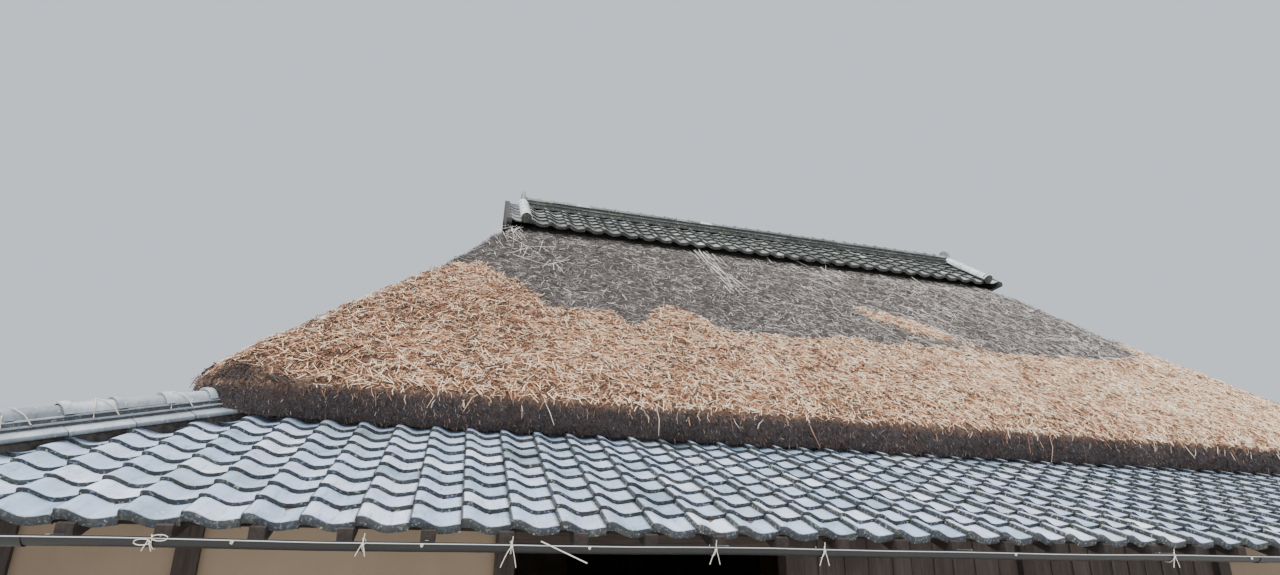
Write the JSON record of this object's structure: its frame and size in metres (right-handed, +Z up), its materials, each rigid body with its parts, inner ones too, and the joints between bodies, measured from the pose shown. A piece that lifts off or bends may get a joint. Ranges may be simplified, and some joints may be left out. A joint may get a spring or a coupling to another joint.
{
  "type": "minka farmhouse",
  "caption": "Farmhouse with a hipped thatched roof and tiled ridge cap over a lower tiled skirt roof, on timber posts, clay plaster walls and an open doorway.",
  "frame": {"origin": "on the ground under the middle of the house", "axes": "+Z up, -Y out of the front with the doorway, X along the ridge to the right as seen from the front"},
  "size_m": [16.06, 12.17, 7.505],
  "materials": {
    "stone": "rough-dressed grey granite, weathered",
    "timber": "old dark brown weathered timber",
    "boards": "dark weathered vertical boards",
    "plaster": "ochre clay plaster, fine straw in it",
    "window": "dark lattice over pale paper",
    "tile": "smoked grey clay tile, lichen and moss",
    "gutter": "dark grey, dusty, satin",
    "thatch": "straw thatch, new tan over old grey"
  },
  "bodies": {
    "root": {"stone_base_front": "stone", "stone_base_back": "stone", "stone_base_left": "stone", "stone_base_right": "stone", "front_frame_left": "timber", "front_frame_right": "timber", "door_lintel": "timber", "back_frame": "timber", "left_frame": "timber", "right_frame": "timber", "inner_bent_left": "timber", "inner_bent_middle": "timber", "inner_bent_right": "timber", "inner_plate_front": "timber", "inner_plate_back": "timber", "skirt_rafters_front": "timber", "skirt_rafters_back": "timber", "skirt_rafters_left": "timber", "skirt_rafters_right": "timber", "gable_board_left": "timber", "gable_board_right": "timber", "front_board_wall": "boards", "back_board_wall": "boards", "front_plaster_left": "plaster", "front_plaster_right": "plaster", "back_plaster_left": "plaster", "back_plaster_right": "plaster", "left_plaster": "plaster", "right_plaster": "plaster", "left_window": "window", "right_window": "window", "skirt_roof_front": "tile", "skirt_roof_back": "tile", "skirt_roof_left": "tile", "skirt_roof_right": "tile", "hip_ridge_front_left": "tile", "hip_ridge_front_right": "tile", "hip_ridge_back_left": "tile", "hip_ridge_back_right": "tile", "cap_roof_front": "tile", "cap_roof_back": "tile", "ridge_stack": "tile", "ridge_end_left": "tile", "ridge_end_right": "tile", "gutter_front": "gutter", "gutter_back": "gutter", "thatch_front": "thatch", "thatch_back": "thatch", "thatch_left": "thatch", "thatch_right": "thatch"}
  },
  "joints": []
}
